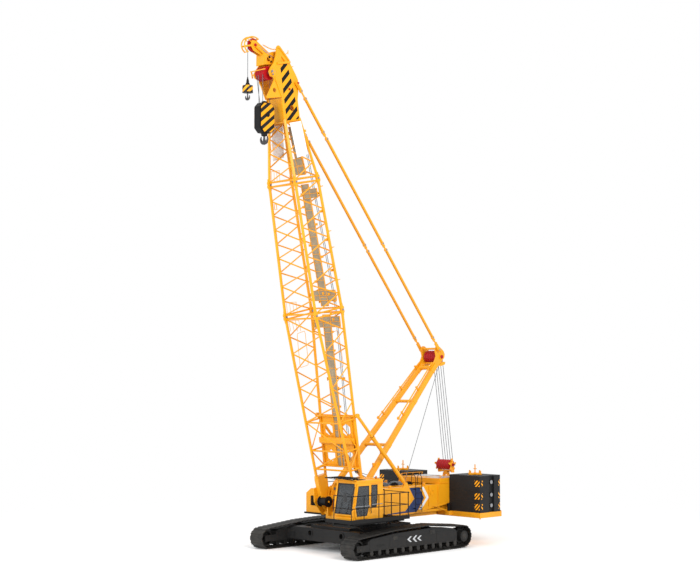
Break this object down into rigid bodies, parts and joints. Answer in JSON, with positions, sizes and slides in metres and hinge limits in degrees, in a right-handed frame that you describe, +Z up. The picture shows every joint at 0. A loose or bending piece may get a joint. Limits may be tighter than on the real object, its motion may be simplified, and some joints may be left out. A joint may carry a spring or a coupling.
{
  "type": "crawler crane",
  "caption": "Lattice-boom crawler crane with mast, pendants, backstops, side-stacked counterweights, cab, winches and two hook blocks on tracks.",
  "frame": {"origin": "on the ground, under the middle of the crane's overall box", "axes": "+Z up, -Y the way the crane faces, +X to its left where the cab is; the slewing axis stands at y = 0.652 m"},
  "size_m": [7.3, 14.4456, 24.5671],
  "materials": {
    "yellow_paint": "gloss",
    "black_paint": "satin",
    "dark_iron": "matte",
    "red_sheave": "satin",
    "machined_steel": "satin",
    "ballast_iron": "matte",
    "tinted_glass": "gloss",
    "seat_cloth": "matte"
  },
  "bodies": {
    "undercarriage": {"carbody": "dark_iron", "slew_ring": "machined_steel", "track_left": "dark_iron", "track_right": "dark_iron", "track_frame_left": "dark_iron", "track_frame_right": "dark_iron", "idler_left": "dark_iron", "idler_right": "dark_iron", "sprocket_left": "dark_iron", "sprocket_right": "dark_iron"},
    "upper": {"revolving_frame": "yellow_paint", "rear_cover": "yellow_paint", "cab_platform": "black_paint", "side_ladder": "black_paint", "engine_platform": "black_paint", "machinery_house": "yellow_paint", "engine": "dark_iron", "cab_shell": "yellow_paint", "cab_left_glass": "tinted_glass", "cab_right_glass": "tinted_glass", "cab_windshield": "tinted_glass", "operator_seat": "seat_cloth", "counterweight_tray": "yellow_paint", "counterweight_left_lower": "ballast_iron", "counterweight_left_middle": "ballast_iron", "counterweight_left_upper": "ballast_iron", "counterweight_right_lower": "ballast_iron", "counterweight_right_middle": "ballast_iron", "counterweight_right_upper": "ballast_iron"},
    "door": {"cab_door": "yellow_paint", "cab_door_glass": "tinted_glass"},
    "main_drum": {"main_winch_drum": "black_paint"},
    "auxiliary_drum": {"auxiliary_winch_drum": "black_paint"},
    "luffing_drum": {"luffing_winch_drum": "black_paint"},
    "boom": {"boom_butt": "yellow_paint", "boom_insert": "yellow_paint", "boom_top": "yellow_paint", "auxiliary_jib": "yellow_paint", "pendant_left": "yellow_paint", "pendant_right": "yellow_paint"},
    "head_sheave_pack": {"head_sheaves": "red_sheave"},
    "jib_sheave_wheel": {"jib_sheave": "red_sheave"},
    "mast": {"mast": "yellow_paint"},
    "mast_sheave_pack": {"mast_sheaves": "red_sheave"},
    "backstop_tubes": {"backstop_tube_left": "yellow_paint", "backstop_tube_right": "yellow_paint"},
    "backstop_rods": {"backstop_rod_left": "machined_steel", "backstop_rod_right": "machined_steel"},
    "luffing_block": {"luffing_block": "yellow_paint"},
    "luffing_sheave_pack": {"luffing_sheaves": "red_sheave"},
    "hook_block": {"hook_block": "yellow_paint"},
    "hook_sheave_pack": {"hook_sheaves": "red_sheave"},
    "main_hook": {"main_hook": "dark_iron"},
    "auxiliary_block": {"auxiliary_block": "yellow_paint"},
    "auxiliary_hook": {"auxiliary_hook": "dark_iron"}
  },
  "joints": [
    {"name": "slew", "type": "hinge", "parent": "undercarriage", "child": "upper", "pos_m": [0, 0.652, 1.3], "axis": [0, 0, 1], "continuous": true},
    {"name": "cab_door_slide", "type": "slide", "parent": "upper", "child": "door", "axis": [0, 1, 0], "range_m": [0, 0.85]},
    {"name": "main_drum_turn", "type": "hinge", "parent": "upper", "child": "main_drum", "pos_m": [0, 2.402, 2.75], "axis": [1, 0, 0], "continuous": true},
    {"name": "auxiliary_drum_turn", "type": "hinge", "parent": "upper", "child": "auxiliary_drum", "pos_m": [0, 1.352, 2.75], "axis": [1, 0, 0], "continuous": true},
    {"name": "luffing_drum_turn", "type": "hinge", "parent": "upper", "child": "luffing_drum", "pos_m": [0, 3.452, 2.75], "axis": [1, 0, 0], "continuous": true},
    {"name": "boom_luff", "type": "hinge", "parent": "upper", "child": "boom", "pos_m": [0, -0.648, 2.3], "axis": [1, 0, 0], "range_deg": [-6, 48]},
    {"name": "mast_luff", "type": "hinge", "parent": "upper", "child": "mast", "pos_m": [0, -0.348, 2.93], "axis": [1, 0, 0], "range_deg": [-6.6, 51.8]},
    {"name": "backstop_tube_pivot", "type": "hinge", "parent": "upper", "child": "backstop_tubes", "pos_m": [0, 2.352, 3.12], "axis": [1, 0, 0], "range_deg": [-4, 31.2]},
    {"name": "backstop_rod_slide", "type": "slide", "parent": "backstop_tubes", "child": "backstop_rods", "axis": [0, -0.6954, 0.7186], "range_m": [-0.25, 1.96]},
    {"name": "luffing_block_swing", "type": "hinge", "parent": "upper", "child": "luffing_block", "pos_m": [0, 7.032, 3.38], "axis": [1, 0, 0], "range_deg": [-4.8, 37.4]},
    {"name": "head_sheaves_turn", "type": "hinge", "parent": "boom", "child": "head_sheave_pack", "pos_m": [0, -5.85426, 22.89766], "axis": [1, 0, 0], "continuous": true},
    {"name": "jib_sheave_turn", "type": "hinge", "parent": "boom", "child": "jib_sheave_wheel", "pos_m": [0, -6.58135, 24.15395], "axis": [1, 0, 0], "continuous": true},
    {"name": "mast_sheaves_turn", "type": "hinge", "parent": "mast", "child": "mast_sheave_pack", "pos_m": [0, 6.06016, 9.53117], "axis": [1, 0, 0], "continuous": true},
    {"name": "luffing_sheaves_turn", "type": "hinge", "parent": "luffing_block", "child": "luffing_sheave_pack", "pos_m": [0, 6.957, 3.85], "axis": [1, 0, 0], "continuous": true},
    {"name": "hook_block_hang", "type": "hinge", "parent": "boom", "child": "hook_block", "pos_m": [0, -5.85426, 22.89766], "axis": [1, 0, 0], "range_deg": [-48.2, 6.2]},
    {"name": "hook_sheaves_turn", "type": "hinge", "parent": "hook_block", "child": "hook_sheave_pack", "pos_m": [0, -5.85426, 20.92767], "axis": [1, 0, 0], "continuous": true},
    {"name": "main_hook_swivel", "type": "hinge", "parent": "hook_block", "child": "main_hook", "pos_m": [0, -5.85426, 20.92767], "axis": [0, 0, 1], "continuous": true},
    {"name": "auxiliary_block_hang", "type": "hinge", "parent": "boom", "child": "auxiliary_block", "pos_m": [0, -6.58135, 24.15395], "axis": [1, 0, 0], "range_deg": [-48.2, 6.2]},
    {"name": "auxiliary_hook_swivel", "type": "hinge", "parent": "auxiliary_block", "child": "auxiliary_hook", "pos_m": [0, -6.90135, 22.00395], "axis": [0, 0, 1], "continuous": true}
  ],
  "couplings": [
    {"joint": "mast_luff", "follows": "boom_luff", "ratio": 1.0745},
    {"joint": "backstop_tube_pivot", "follows": "boom_luff", "ratio": 0.6453},
    {"joint": "backstop_rod_slide", "follows": "boom_luff", "m_per_rad": 2.3299},
    {"joint": "luffing_block_swing", "follows": "boom_luff", "ratio": 0.7729},
    {"joint": "hook_block_hang", "follows": "boom_luff", "ratio": -1},
    {"joint": "auxiliary_block_hang", "follows": "boom_luff", "ratio": -1}
  ]
}
